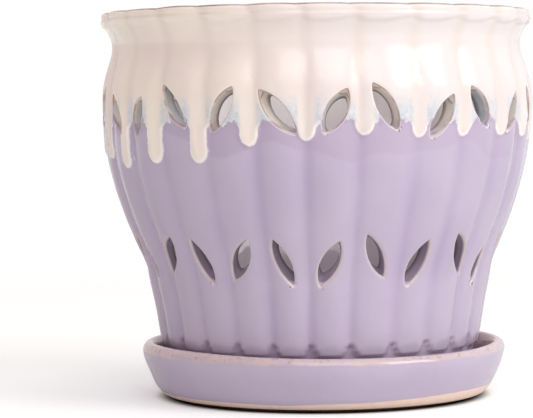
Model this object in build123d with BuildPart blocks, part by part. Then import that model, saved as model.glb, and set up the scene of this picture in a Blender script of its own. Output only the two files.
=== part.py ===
"""Glazed stoneware orchid pot with two rows of leaf slots, standing in its own saucer.

Millimetres, +Z up. The origin is on the ground, straight under the middle of the pot.
Angles round the pot are measured from the front (-Y) towards the right (+X).
"""

from build123d import *
from math import cos, radians, sin
import os

os.makedirs("parts", exist_ok=True)

# Pot
rim_radius = 81.8
pot_height = 141.1
wall = 5.6
floor_thickness = 6.0
inside_corner_radius = 8.0
lip_thickness = 4.8
lip_flare = 1.5
flute_count = 26
flute_depth = 2.0
groove_radius = 2.4
first_flute_angle = 5.0

# The pot's foot and drainage
foot_ring_width = 8.0
foot_recess = 2.5
drain_radius = 7.0
notch_width = 9.0
notch_height = 1.8
notch_count = 3

# Slots: nominal size, height of each row's middle over the pot's foot, and how many degrees the cut dips
upper_slot_length = 17.6
upper_slot_width = 6.6
upper_row_height = 103.3
upper_dip = 0.0
lower_slot_length = 18.4
lower_slot_width = 6.0
lower_row_height = 49.1
lower_dip = 14.0

# Cream glaze coat: heights are over the pot's foot
glaze_thickness = 0.7
glaze_edge_height = 99.3
drip_width = 6.4
drip_length = 7.6
drip_flare = 1.8
drip_flare_height = 3.0

# Saucer, with the room it leaves round the pot's foot and round the pot at its own mouth
saucer_height = 21.3
saucer_wall = 4.8
saucer_floor = 6.3
foot_clearance = 2.2
mouth_clearance = 2.3
basin_corner_radius = 1.6
saucer_foot_width = 8.0
saucer_foot_recess = 1.5
saucer_foot_undercut = 3.4
saucer_foot_gap = 1.2
saucer_lip_round = 2.4
saucer_shift = 1.9

# How far a cutting solid runs past what it cuts
overrun = 4.0

# The pot's outline: height of pot_height, radius over the flutes of rim_radius, groove depth of flute_depth
outline_shares = (
    (0.000, 0.703, 0.20),
    (0.011, 0.715, 0.20),
    (0.113, 0.747, 0.25),
    (0.145, 0.757, 0.90),
    (0.206, 0.778, 0.95),
    (0.280, 0.804, 1.00),
    (0.319, 0.820, 1.00),
    (0.370, 0.854, 1.00),
    (0.435, 0.900, 1.00),
    (0.501, 0.940, 1.00),
    (0.566, 0.973, 1.00),
    (0.632, 0.996, 1.00),
    (0.697, 1.002, 0.97),
    (0.763, 1.006, 0.92),
    (0.811, 0.996, 0.82),
    (0.860, 0.968, 0.60),
    (0.901, 0.948, 0.35),
    (0.936, 0.963, 0.30),
    (0.960, 0.990, 0.50),
    (0.980, 1.000, 0.60),
    (0.994, 0.990, 0.58),
    (1.000, 0.971, 0.50),
)
# The saucer's outside below its lip: height of saucer_height, radius of saucer_radius
saucer_shares = (
    (0.090, 0.875),
    (0.127, 0.889),
    (0.174, 0.904),
    (0.272, 0.927),
    (0.380, 0.945),
    (0.488, 0.961),
    (0.596, 0.977),
    (0.709, 0.991),
    (0.812, 0.999),
    (0.887, 1.000),
)
saucer_foot_share = 0.864

# Each upper slot, from the first flute round: place of one flute's pitch, lift and length of the slot's
# length, width of its width
upper_slot_shares = (
    (-0.01, -0.01, 0.97, 1.10),
    (-0.10, 0.07, 1.05, 0.95),
    (0.06, -0.13, 0.99, 0.98),
    (-0.05, 0.05, 0.94, 0.96),
    (0.06, -0.04, 0.93, 0.97),
    (0.08, 0.03, 0.96, 1.00),
    (-0.03, -0.05, 0.98, 0.93),
    (0.04, 0.06, 1.02, 1.04),
    (-0.06, -0.02, 0.95, 1.01),
    (0.03, 0.04, 1.00, 0.94),
    (0.10, -0.06, 1.03, 0.95),
    (-0.28, 0.02, 0.97, 0.93),
    (-0.26, -0.02, 0.99, 0.93),
    (-0.12, 0.04, 1.01, 0.94),
    (0.05, -0.06, 0.96, 1.03),
    (0.00, 0.03, 1.04, 0.99),
    (0.02, -0.04, 0.98, 0.94),
    (0.06, 0.07, 1.00, 1.04),
    (-0.02, -0.05, 0.95, 0.97),
    (0.03, 0.04, 1.02, 1.00),
    (-0.01, 0.11, 0.92, 0.98),
    (-0.03, -0.03, 0.96, 0.95),
    (-0.20, -0.10, 0.90, 0.97),
    (-0.19, 0.12, 1.06, 0.86),
    (-0.12, 0.04, 1.00, 0.98),
    (-0.07, -0.02, 1.13, 1.02),
)
# The same for the lower row
lower_slot_shares = (
    (-0.10, -0.04, 0.99, 1.10),
    (-0.09, 0.09, 1.00, 0.88),
    (-0.03, -0.07, 1.00, 1.04),
    (0.20, 0.05, 1.04, 1.06),
    (0.14, -0.11, 0.97, 0.95),
    (0.18, 0.02, 0.98, 1.00),
    (0.05, 0.04, 1.01, 0.94),
    (-0.06, -0.05, 0.96, 1.03),
    (0.04, 0.03, 0.99, 0.97),
    (-0.03, 0.06, 1.03, 1.02),
    (0.07, -0.04, 0.98, 0.95),
    (-0.20, 0.09, 1.00, 0.93),
    (-0.10, 0.05, 0.95, 0.94),
    (0.06, -0.06, 1.02, 1.01),
    (-0.04, 0.03, 0.97, 0.93),
    (-0.07, -0.03, 1.01, 1.04),
    (0.03, 0.07, 0.99, 0.96),
    (0.05, -0.05, 1.03, 1.02),
    (-0.02, 0.02, 0.96, 0.99),
    (0.04, -0.04, 1.00, 1.03),
    (0.00, 0.00, 0.97, 0.95),
    (-0.30, -0.02, 0.95, 0.98),
    (-0.18, 0.05, 0.96, 1.18),
    (-0.11, -0.02, 0.98, 0.93),
    (-0.09, 0.02, 0.99, 1.08),
    (-0.12, -0.01, 1.01, 0.89),
)
# How far each slot leans from upright, in degrees: up to the right, then up to the left, and so on
upper_slot_leans = (
    28, -30, 32, -31, 28, -28, 26, -31, 29, -27, 27, -27, 26,
    -30, 28, -26, 31, -28, 29, -30, 28, -31, 25, -37, 29, -40,
)
lower_slot_leans = (
    22, -25, 19, -29, 19, -26, 24, -22, 25, -20, 23, -24, 20,
    -24, 22, -25, 20, -23, 26, -22, 24, -25, 31, -21, 27, -20,
)
# Each drip runs down a groove, the first one left of the first flute: length of drip_length, width of
# drip_width, how far it lies beside its groove of one flute's pitch
drip_shares = (
    (0.84, 1.00, -0.04),
    (0.60, 1.14, 0.01),
    (0.74, 0.92, 0.07),
    (0.71, 0.98, 0.06),
    (0.71, 0.92, 0.16),
    (0.83, 0.90, 0.19),
    (1.05, 1.02, 0.02),
    (0.80, 0.96, -0.04),
    (1.14, 1.04, 0.01),
    (0.92, 0.98, -0.02),
    (0.74, 1.06, 0.04),
    (1.20, 0.95, 0.01),
    (1.00, 1.01, -0.03),
    (0.82, 0.97, 0.02),
    (1.26, 1.03, -0.01),
    (1.10, 0.99, 0.03),
    (1.48, 1.02, 0.00),
    (1.24, 0.96, 0.01),
    (1.60, 1.00, -0.02),
    (1.32, 1.05, 0.02),
    (1.76, 0.95, 0.03),
    (1.73, 0.80, -0.12),
    (2.15, 0.82, -0.21),
    (1.88, 1.12, -0.19),
    (1.86, 1.06, -0.12),
    (1.09, 1.03, -0.10),
)

# Places worked out from these sizes
pitch = 360 / flute_count
pot_base = saucer_floor
pot_top = pot_base + pot_height
pot_floor_top = pot_base + foot_recess + floor_thickness
glaze_edge = pot_base + glaze_edge_height
foot_radius = rim_radius * outline_shares[0][1]
recess_radius = foot_radius - foot_ring_width
foot_crest = rim_radius * outline_shares[1][1]
basin_radius = foot_crest + saucer_shift + foot_clearance


def around(angle, radius):
    """The point at an angle round the pot and a distance from its axis, seen from above."""
    return (radius * sin(radians(angle)), -radius * cos(radians(angle)))


def wall_plane(angle, height, dip):
    """A plane on the pot's flutes that faces outwards and dips by so many degrees; its Y is up the wall."""
    across, back = around(angle, crest_radius(height))
    out_across, out_back = around(angle, cos(radians(dip)))
    return Plane(
        origin=(across, back, height),
        x_dir=(cos(radians(angle)), sin(radians(angle)), 0),
        z_dir=(out_across, out_back, -sin(radians(dip))),
    )


def crest_radius(height):
    """Radius over the flutes at a height over the ground, straight from each outline point to the next."""
    share = (height - pot_base) / pot_height
    for (low, near, _), (high, far, _) in zip(outline_shares, outline_shares[1:]):
        if share <= high:
            return rim_radius * (near + (far - near) * (share - low) / (high - low))
    return rim_radius * outline_shares[-1][1]


def inner_wall(cover):
    """The pot's inner wall from floor to lip as radius and height, with a cover of glaze on it."""
    points = [(crest_radius(pot_floor_top) - wall - cover, pot_floor_top)]
    for height_share, radius_share, _ in outline_shares[3:-4]:
        points.append((rim_radius * radius_share - wall - cover, pot_base + pot_height * height_share))
    points.append((rim_radius - lip_thickness - cover, pot_top - lip_flare))
    points.append((rim_radius - lip_thickness + lip_flare - cover, pot_top + lip_flare / 2))
    return points


mouth_radius = crest_radius(saucer_height) + saucer_shift + mouth_clearance
saucer_radius = mouth_radius + saucer_wall

# The solid the pot is cut from, fluted outside
with BuildPart() as fluted_blank:
    for height_share, radius_share, depth_share in outline_shares:
        crest = rim_radius * radius_share
        trough = crest - flute_depth * depth_share
        with BuildSketch(Plane.XY.offset(pot_base + pot_height * height_share)) as section:
            with BuildLine():
                for flute in range(flute_count):
                    middle = first_flute_angle + flute * pitch
                    ThreePointArc(
                        around(middle - pitch / 2, trough),
                        around(middle, crest),
                        around(middle + pitch / 2, trough),
                    )
            make_face()
            fillet(section.vertices(), groove_radius)
    loft()

# The room inside the pot
with BuildPart() as inside_room:
    with BuildSketch(Plane.XZ) as inside_sketch:
        with BuildLine():
            wall_points = inner_wall(0)
            Spline(*wall_points)
            Polyline(
                wall_points[-1],
                (wall_points[-1][0], pot_top + overrun),
                (0, pot_top + overrun),
                (0, pot_floor_top),
                wall_points[0],
            )
        make_face()
        fillet(inside_sketch.vertices().sort_by_distance((*wall_points[0], 0))[0], inside_corner_radius)
    revolve(axis=Axis.Z)

# The same room with a coat of glaze on its wall
with BuildPart() as glazed_room:
    with BuildSketch(Plane.XZ):
        with BuildLine():
            wall_points = inner_wall(glaze_thickness)
            Spline(*wall_points)
            Polyline(
                wall_points[-1],
                (wall_points[-1][0], pot_top + overrun),
                (0, pot_top + overrun),
                (0, pot_floor_top),
                wall_points[0],
            )
        make_face()
    revolve(axis=Axis.Z)

# Leaf-shaped cuts through the wall, leaning to and fro
with BuildPart() as slot_cuts:
    upper_row = (upper_slot_length, upper_slot_width, upper_row_height, upper_dip)
    lower_row = (lower_slot_length, lower_slot_width, lower_row_height, lower_dip)
    for shares, leans, (length, width, row_height, dip) in (
        (upper_slot_shares, upper_slot_leans, upper_row),
        (lower_slot_shares, lower_slot_leans, lower_row),
    ):
        for flute, ((place, lift, long_share, wide_share), lean) in enumerate(zip(shares, leans)):
            angle = first_flute_angle + (flute + place) * pitch
            height = pot_base + row_height + lift * length
            half_length = length * long_share / 2
            half_width = width * wide_share / 2
            along = (half_length * sin(radians(lean)), half_length * cos(radians(lean)))
            aside = (half_width * cos(radians(lean)), -half_width * sin(radians(lean)))
            with BuildSketch(wall_plane(angle, height, dip)):
                with BuildLine():
                    ThreePointArc((-along[0], -along[1]), aside, along)
                    ThreePointArc(along, (-aside[0], -aside[1]), (-along[0], -along[1]))
                make_face()
            extrude(amount=wall + overrun, both=True)

with BuildPart() as pot:
    add(fluted_blank.part)
    add(inside_room.part, mode=Mode.SUBTRACT)
    with BuildSketch(Plane.XY.offset(pot_base)):
        Circle(recess_radius)
    extrude(amount=foot_recess, mode=Mode.SUBTRACT)
    with BuildSketch(Plane.XY.offset(pot_base)):
        Circle(drain_radius)
    extrude(amount=foot_recess + floor_thickness + overrun, mode=Mode.SUBTRACT)
    for notch in range(notch_count):
        with BuildSketch(Plane.XY.offset(pot_base)):
            with Locations(Rot(0, 0, 360 / notch_count * notch)):
                with Locations((0, -foot_radius)):
                    Rectangle(notch_width, foot_ring_width * 3)
        extrude(amount=notch_height, mode=Mode.SUBTRACT)
    add(slot_cuts.part, mode=Mode.SUBTRACT)
pot.part.label = "pot"

# Where the glaze lies: all round above its edge, and down each groove in a drip with a round end
with BuildPart() as glaze_mask:
    with BuildSketch(Plane.XY.offset(glaze_edge)):
        Circle(rim_radius + overrun)
    extrude(amount=pot_top + overrun - glaze_edge)
    for groove, (long_share, wide_share, place) in enumerate(drip_shares):
        angle = first_flute_angle + (groove - 1 / 2 + place) * pitch
        half = drip_width * wide_share / 2
        drop = drip_length * long_share - half
        with BuildSketch(wall_plane(angle, glaze_edge, 0)):
            with BuildLine():
                Polyline((-half, -drop), (-half, -drip_flare_height / 2), (-half - drip_flare, 0))
                Line((-half - drip_flare, 0), (-half - drip_flare, glaze_thickness))
                Line((-half - drip_flare, glaze_thickness), (half + drip_flare, glaze_thickness))
                Line((half + drip_flare, glaze_thickness), (half + drip_flare, 0))
                Polyline((half + drip_flare, 0), (half, -drip_flare_height / 2), (half, -drop))
                ThreePointArc((half, -drop), (0, -drop - half), (-half, -drop))
            make_face()
        extrude(amount=overrun, both=True)

# The coat: one glaze thickness over the outside, the lip and the top of the inside
with BuildPart() as cream_glaze:
    for height_share, radius_share, depth_share in outline_shares[8:]:
        crest = rim_radius * radius_share + glaze_thickness
        trough = crest - flute_depth * depth_share
        lift = glaze_thickness if height_share == 1 else 0
        with BuildSketch(Plane.XY.offset(pot_base + pot_height * height_share + lift)) as section:
            with BuildLine():
                for flute in range(flute_count):
                    middle = first_flute_angle + flute * pitch
                    ThreePointArc(
                        around(middle - pitch / 2, trough),
                        around(middle, crest),
                        around(middle + pitch / 2, trough),
                    )
            make_face()
            fillet(section.vertices(), groove_radius)
    loft()
    add(glaze_mask.part, mode=Mode.INTERSECT)
    add(glazed_room.part, mode=Mode.SUBTRACT)
    add(pot.part, mode=Mode.SUBTRACT)
    add(slot_cuts.part, mode=Mode.SUBTRACT)
cream_glaze.part.label = "cream_glaze"

# The saucer stands a little off the pot's middle
with BuildPart() as saucer:
    with BuildSketch(Plane.XZ.move(Location((saucer_shift, 0, 0)))) as saucer_sketch:
        with BuildLine():
            outline = [(saucer_radius * near, saucer_height * high) for high, near in saucer_shares]
            foot_edge = (saucer_radius * saucer_foot_share, saucer_foot_gap)
            foot_outer = foot_edge[0] - saucer_foot_undercut
            foot_inner = foot_outer - saucer_foot_width
            crown = (saucer_radius - saucer_lip_round, saucer_height)
            mouth = (mouth_radius, saucer_height - saucer_lip_round)
            corner = (basin_radius, saucer_floor)
            Line(foot_edge, outline[0])
            Spline(*outline)
            TangentArc(crown, outline[-1], tangent=(1, 0))
            TangentArc(crown, mouth, tangent=(-1, 0))
            Polyline(
                mouth,
                corner,
                (0, saucer_floor),
                (0, saucer_foot_recess),
                (foot_inner - saucer_foot_recess, saucer_foot_recess),
                (foot_inner, 0),
                (foot_outer, 0),
                foot_edge,
            )
        make_face()
        fillet(saucer_sketch.vertices().sort_by_distance((*corner, 0))[0], basin_corner_radius)
    revolve(axis=Axis((saucer_shift, 0, 0), (0, 0, 1)))
saucer.part.label = "saucer"

export_step(pot.part, "parts/pot.step")
export_step(cream_glaze.part, "parts/cream_glaze.step")
export_step(saucer.part, "parts/saucer.step")
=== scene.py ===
from math import atan, cos, pi, radians, sin
import bpy
import numpy as np
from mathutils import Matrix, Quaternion, Vector


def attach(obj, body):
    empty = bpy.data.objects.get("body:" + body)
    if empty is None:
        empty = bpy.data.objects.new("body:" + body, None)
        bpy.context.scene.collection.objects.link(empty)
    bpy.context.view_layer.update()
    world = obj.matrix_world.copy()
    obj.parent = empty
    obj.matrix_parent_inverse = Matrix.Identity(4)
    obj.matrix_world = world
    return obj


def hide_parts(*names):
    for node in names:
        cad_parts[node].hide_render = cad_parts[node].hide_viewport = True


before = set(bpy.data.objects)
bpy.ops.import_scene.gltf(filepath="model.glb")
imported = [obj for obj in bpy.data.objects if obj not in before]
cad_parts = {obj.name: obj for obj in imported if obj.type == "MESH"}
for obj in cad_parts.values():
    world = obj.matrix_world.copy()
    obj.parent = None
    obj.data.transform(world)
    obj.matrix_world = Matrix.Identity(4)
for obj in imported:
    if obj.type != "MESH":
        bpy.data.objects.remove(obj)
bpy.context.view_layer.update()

# Sizes in millimetres. Angles run round the pot from its front (-Y) to the right (+X).
# Heights are counted from the ground.
MM = 0.001
TURN = 2 * pi

# Pot: the foot stands on the saucer's floor at BASE
FLUTES = 26
PITCH = TURN / FLUTES
FIRST_FLUTE = radians(5.0)
WALL = 5.6
BASE = 6.3
FOOT_ROUND_IN = 1.2
FOOT_ROUND_UP = 1.6
FLOOR_TOP = 14.8
INSIDE_CORNER = 8.0
DRAIN = 7.0
RECESS_RADIUS = 49.2
RECESS_TOP = 8.8
NOTCHES = 3
NOTCH_HALF_ANGLE = radians(4.5)
NOTCH_HEIGHT = 1.8

# Lip: where it starts, how high it stands over that, its outer radius and how far its petals lean
LIP_START = 143.9
LIP_HEIGHT = 4.1
LIP_RADIUS = 82.35
PETAL_LEAN = .55

# Cream glaze: its thickness and the height where it ends between the drips
GLAZE = 0.7
GLAZE_EDGE = 105.6
DRIP_LENGTH, DRIP_WIDTH = 7.6, 6.1

# Saucer: how far it stands to the right of the pot's axis, its floor and its underside
SAUCER_SHIFT = 2.0
SAUCER_FLOOR = 6.3
SAUCER_UNDERSIDE = 1.5
SAUCER_SIDES = 200

# The pot's outline: height, radius of the clay over the flutes, depth of the grooves
OUTLINE = np.array((
    (6.3, 57.6, .5), (7.9, 58.6, .5), (15.3, 60.0, .5), (21.5, 61.15, .5), (23.2, 61.5, .9),
    (24.6, 61.85, 1.6), (26.5, 62.2, 1.9), (35.3, 63.7, 1.9), (41.3, 64.85, 2.0), (45.8, 65.75, 2.0),
    (49.2, 66.35, 2.0), (51.5, 67.1, 2.0), (53.9, 67.95, 2.0), (58.5, 69.9, 2.0), (63.1, 71.8, 2.0),
    (67.7, 73.65, 2.0), (72.4, 75.3, 2.0), (77.0, 76.9, 2.0), (81.6, 78.35, 2.0), (86.2, 79.6, 2.0),
    (90.8, 80.65, 2.0), (95.5, 81.35, 2.0), (100.1, 81.7, 1.95), (104.7, 81.9, 1.9), (109.3, 82.05, 1.85),
    (113.9, 82.0, 1.8), (118.5, 81.65, 1.8), (123.1, 80.6, 1.7), (127.7, 79.1, 1.35), (131.3, 77.95, .65),
    (134.0, 77.6, .35), (136.6, 77.9, .25), (139.2, 79.0, .2), (141.5, 80.2, .2), (143.3, 80.9, .2),
    (145.3, 81.3, .3),
))

# Each slot: its place in its flute, lift, length and width as shares, and lean in degrees
UPPER_SLOTS = np.array((
    (-0.01, -0.01, 0.97, 1.10, 28), (-0.10, 0.07, 1.05, 0.95, -30), (0.06, -0.13, 0.99, 0.98, 32),
    (-0.05, 0.05, 0.94, 0.96, -31), (0.06, -0.04, 0.93, 0.97, 28), (0.08, 0.03, 0.96, 1.00, -28),
    (-0.03, -0.05, 0.98, 0.93, 26), (0.04, 0.06, 1.02, 1.04, -31), (-0.06, -0.02, 0.95, 1.01, 29),
    (0.03, 0.04, 1.00, 0.94, -27), (0.10, -0.06, 1.03, 0.95, 27), (-0.28, 0.02, 0.97, 0.93, -27),
    (-0.26, -0.02, 0.99, 0.93, 26), (-0.12, 0.04, 1.01, 0.94, -30), (0.05, -0.06, 0.96, 1.03, 28),
    (0.00, 0.03, 1.04, 0.99, -26), (0.02, -0.04, 0.98, 0.94, 31), (0.06, 0.07, 1.00, 1.04, -28),
    (-0.02, -0.05, 0.95, 0.97, 29), (0.03, 0.04, 1.02, 1.00, -30), (-0.01, 0.11, 0.92, 0.98, 28),
    (-0.03, -0.03, 0.96, 0.95, -31), (-0.20, -0.10, 0.90, 0.97, 25), (-0.19, 0.12, 1.06, 0.86, -37),
    (-0.12, 0.04, 1.00, 0.98, 29), (-0.07, -0.02, 1.13, 1.02, -40),
))
LOWER_SLOTS = np.array((
    (-0.10, -0.04, 0.99, 1.10, 22), (-0.09, 0.09, 1.00, 0.88, -25), (-0.03, -0.07, 1.00, 1.04, 19),
    (0.20, 0.05, 1.04, 1.06, -29), (0.14, -0.11, 0.97, 0.95, 19), (0.18, 0.02, 0.98, 1.00, -26),
    (0.05, 0.04, 1.01, 0.94, 24), (-0.06, -0.05, 0.96, 1.03, -22), (0.04, 0.03, 0.99, 0.97, 25),
    (-0.03, 0.06, 1.03, 1.02, -20), (0.07, -0.04, 0.98, 0.95, 23), (-0.20, 0.09, 1.00, 0.93, -24),
    (-0.10, 0.05, 0.95, 0.94, 20), (0.06, -0.06, 1.02, 1.01, -24), (-0.04, 0.03, 0.97, 0.93, 22),
    (-0.07, -0.03, 1.01, 1.04, -25), (0.03, 0.07, 0.99, 0.96, 20), (0.05, -0.05, 1.03, 1.02, -23),
    (-0.02, 0.02, 0.96, 0.99, 26), (0.04, -0.04, 1.00, 1.03, -22), (0.00, 0.00, 0.97, 0.95, 24),
    (-0.30, -0.02, 0.95, 0.98, -25), (-0.18, 0.05, 0.96, 1.18, 31), (-0.11, -0.02, 0.98, 0.93, -21),
    (-0.09, 0.02, 0.99, 1.08, 27), (-0.12, -0.01, 1.01, 0.89, -20),
))
# Slot rows: table, nominal length, width, height over the ground, dip of the cut in degrees
UPPER, LOWER = 0, 1
ROWS = (
    (UPPER_SLOTS, 17.6, 6.6, 109.6, 0.0),
    (LOWER_SLOTS, 18.4, 6.0, 55.4, 14.0),
)
# Cuts that run askew through the wall, by row and flute: how far the inner end lies to the right and up
ASKEW = {
    (UPPER, 24): (.2, -.4), (UPPER, 25): (2.0, -.2), (UPPER, 0): (.6, -1.4), (UPPER, 1): (-.2, -.6),
    (UPPER, 2): (-.5, .4), (UPPER, 10): (2.0, 0), (UPPER, 12): (-2.0, 0), (UPPER, 15): (1.8, 0),
    (LOWER, 23): (.9, .3), (LOWER, 24): (.5, 1.7), (LOWER, 25): (1.6, 1.0), (LOWER, 0): (.4, 1.9),
    (LOWER, 1): (-.3, .7), (LOWER, 2): (-1.4, .7), (LOWER, 10): (2.0, 0), (LOWER, 11): (-2.2, 1.6),
    (LOWER, 15): (2.0, 0),
}
# Slots whose cut face carries a cooler, greyer glaze, and how much so
COOL = {
    (UPPER, 3): 1.0, (UPPER, 23): .8, (UPPER, 22): .5, (UPPER, 16): .7, (UPPER, 8): .6,
    (LOWER, 6): .5, (LOWER, 18): .6,
}
# A cut narrows inwards: the inner end's share of its length and width, and how pointed both ends are
CUT_POINT = 1.72
INNER_LENGTH, INNER_WIDTH, INNER_POINT = .74, .86, 1.3
# How far a slot's edge is rounded outside and inside
ROUND_OUT, ROUND_IN = 1.0, .6

# Each drip, the first one left of the first flute: length, width and place beside its groove, as shares
DRIPS = np.array((
    (0.84, 1.00, -0.04), (0.60, 1.14, 0.01), (0.74, 0.92, 0.07), (0.71, 0.98, 0.06), (0.71, 0.92, 0.16),
    (0.83, 0.90, 0.19), (1.05, 1.02, 0.02), (0.80, 0.96, -0.04), (1.14, 1.04, 0.01), (0.92, 0.98, -0.02),
    (0.74, 1.06, 0.04), (1.20, 0.95, 0.01), (1.00, 1.01, -0.03), (0.82, 0.97, 0.02), (1.26, 1.03, -0.01),
    (1.10, 0.99, 0.03), (1.48, 1.02, 0.00), (1.24, 0.96, 0.01), (1.60, 1.00, -0.02), (1.32, 1.05, 0.02),
    (1.76, 0.95, 0.03), (1.73, 0.80, -0.12), (2.15, 0.82, -0.21), (1.88, 1.12, -0.19), (1.86, 1.06, -0.12),
    (1.09, 1.03, -0.10),
))

# The pot's mesh: columns in each flute, rows in a slot's cell, half the height of such a cell
ACROSS = 14
COLUMNS = ACROSS * FLUTES
CELL_UP = 18
CELL_HALF = 13.0
RIM_POINTS = 2 * (ACROSS + CELL_UP)

# What a point of the pot's mesh lies on
ON_OUTSIDE, ON_LIP, ON_INSIDE, ON_FOOT, ON_CUT = range(5)

# Distance given to points that lie near no edge
FAR = 9.0


def spline(table, column):
    """A smooth curve through one column of a table over its first, with mean slopes at its points."""
    x, y = table[:, 0], table[:, column]
    step, rise = np.diff(x), np.diff(y) / np.diff(x)
    slope = np.empty_like(y)
    slope[1:-1] = (rise[:-1] * step[1:] + rise[1:] * step[:-1]) / (step[1:] + step[:-1])
    slope[0], slope[-1] = rise[0], rise[-1]

    def at(z):
        z = np.clip(z, x[0], x[-1])
        i = np.clip(np.searchsorted(x, z) - 1, 0, len(x) - 2)
        h = x[i + 1] - x[i]
        t = (z - x[i]) / h
        return (
            (1 + 2 * t) * (1 - t) ** 2 * y[i] + t * (1 - t) ** 2 * h * slope[i]
            + t * t * (3 - 2 * t) * y[i + 1] + t * t * (t - 1) * h * slope[i + 1]
        )

    return at


def smooth(low, high, x):
    """0 at low and beyond, 1 at high and beyond, with a smooth rise between them."""
    t = np.clip((x - low) / (high - low), 0, 1)
    return t * t * (3 - 2 * t)


def quarter_round(share):
    """How far a quarter circle still lies from its end: 1 at a share of 0, and 0 at a share of 1."""
    rest = 1 - np.clip(share, 0, 1)
    return 1 - np.sqrt(np.clip(1 - rest ** 2, 0, 1))


def signed(angle):
    """The same angle between minus and plus half a turn."""
    return (angle + pi) % TURN - pi


clay_radius = spline(OUTLINE, 1)
groove_depth = spline(OUTLINE, 2)

rng = np.random.default_rng(26)
groove_jitter = rng.normal(0, radians(.35), FLUTES)
flute_depth_jitter = 1 + rng.normal(0, .12, FLUTES)
flute_swell = rng.normal(0, .12, FLUTES)


def groove_angles():
    """Angles of all the grooves with one turn before and after, rising."""
    j = np.arange(-FLUTES, 2 * FLUTES + 1)
    return FIRST_FLUTE + (j - .5) * PITCH + groove_jitter[j % FLUTES]


GROOVES = groove_angles()


def flute(angle):
    """(place from -1 in the groove on the left to 1 in the one on the right, number of the flute)"""
    i = np.searchsorted(GROOVES, angle) - 1
    low, high = GROOVES[i], GROOVES[i + 1]
    return 2 * (angle - low) / (high - low) - 1, (i - FLUTES) % FLUTES


def hollow(u, sharp=10.0):
    """0 on a flute's crest and up to 1 in a groove, with the groove's bottom rounded."""
    a = np.abs(u)
    return -np.log(np.exp(-sharp * a * a) + np.exp(-sharp * (2 - a) ** 2)) / sharp


def wobble(angle, z):
    """Slow unevenness of a hand-thrown wall."""
    return (
        .22 * np.sin(2 * angle + .7) * smooth(0, 140, z) + .12 * np.sin(3 * angle + z / 31 + 1)
        + .10 * np.sin(z / 9.0 + 1.3 * np.sin(angle)) + .06 * np.sin(z / 4.3 + 2 * angle)
    )


def drip_distance(angle, z):
    """Distance to the cream's outline, negative inside it, and sideways distance to the nearest drip."""
    best = np.full(np.broadcast(angle, z).shape, 1e3)
    beside = best.copy()
    radius = clay_radius(z)
    for j in range(FLUTES):
        long_share, wide_share, place = DRIPS[j]
        middle = FIRST_FLUTE + (j - .5 + place) * PITCH
        away = np.abs(signed(angle - middle)) * radius
        half = DRIP_WIDTH * wide_share / 2
        bottom = GLAZE_EDGE - DRIP_LENGTH * long_share
        # a drip widens into the glaze above it, and its tip is a long round one
        flare = half + 2.0 * smooth(GLAZE_EDGE - 2.6, GLAZE_EDGE + 1.2, z)
        flare = flare + .25 * smooth(bottom + 7, bottom + 3, z)
        tip = 1.45 * half
        down = np.maximum(bottom + tip - z, 0) / tip
        round_off = (np.hypot(away / half, down) - 1) * half
        best = np.minimum(best, np.where(z > bottom + tip, away - flare, round_off - .25))
        beside = np.minimum(beside, away - half)
    edge = GLAZE_EDGE + .36 * np.sin(5 * angle + 1) + .25 * np.sin(17 * angle)
    return np.minimum(best, edge - z), beside


def glaze(angle, z):
    """Thickness of the cream glaze on the clay, with a bead along its lower edge."""
    d, beside = drip_distance(angle, z)
    coat = GLAZE * smooth(.45, -.55, d)
    bead = .28 * np.exp(-((d + 1.2) / 1.1) ** 2) * smooth(GLAZE_EDGE + 2, GLAZE_EDGE - 3, z)
    return coat + bead


def petal(angle, z):
    """The rolled lip's lower edge: one lap for each flute, low at its left end and rising to the right."""
    u = flute(angle)[0]
    low = 141.2 + 1.5 * smooth(-.2, 1.0, u) + 1.2 * smooth(-.82, -1.0, u)
    return (.9 - .35 * smooth(.2, 1.0, u)) * smooth(low - .8, low + .7, z)


def outer_radius(angle, z):
    """The pot's outside with flutes, glaze and the lip's laps."""
    u, number = flute(angle)
    # the unevenness of the flutes fades out towards the grooves so that neighbours meet
    depth = groove_depth(z) * (.84 + (flute_depth_jitter[number] - 1) * (1 - np.abs(u)) ** .5)
    swell = flute_swell[number] * (1 - u * u)
    lean = .55 * np.sin(angle) * smooth(62, 30, z)
    # the flutes end round at the bottom, and the wall steps in below them
    end = 20.3 + 4.6 * smooth(.55, 1.0, np.abs(u))
    step = 1.5 * smooth(end + .5, end - .5, z) * smooth(13, 18, z)
    shape = clay_radius(z) - depth * hollow(u) + swell + wobble(angle, z) + lean - step
    return shape + glaze(angle, z) + petal(angle, z)


def inner_radius(angle, z):
    """The pot's inside, with faint flutes and a rounded corner at the floor."""
    u = flute(angle)[0]
    corner = INSIDE_CORNER * quarter_round((z - FLOOR_TOP) / INSIDE_CORNER)
    return clay_radius(z) - WALL - .5 * hollow(u) * smooth(16, 40, z) - corner + .4 * wobble(angle, z)


# The pot's mesh: rows of points round it, with rings of faces round each slot
def slot_columns(row):
    """Angles of the columns at a slot row: each flute's stretch is centred on its slot."""
    table = ROWS[row][0]
    centre = FIRST_FLUTE + (np.arange(FLUTES) + table[:, 0]) * PITCH
    edge = (centre + np.roll(centre, 1) - TURN * (np.arange(FLUTES) == 0)) / 2
    ends = np.append(edge, edge[0] + TURN)
    t = np.arange(ACROSS) / ACROSS
    return (ends[:-1, None] + (ends[1:] - ends[:-1])[:, None] * t).ravel()


plain_columns = FIRST_FLUTE - PITCH / 2 + np.arange(COLUMNS) * PITCH / ACROSS
upper_columns, lower_columns = slot_columns(UPPER), slot_columns(LOWER)


def nearness(row, z, above, below):
    """1 at the heights of a slot row's cells, falling to 0 over a stretch above and one below them."""
    top, bottom = ROWS[row][3] + CELL_HALF, ROWS[row][3] - CELL_HALF
    return smooth(top + above, top, z) * smooth(bottom - below, bottom, z)


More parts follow.
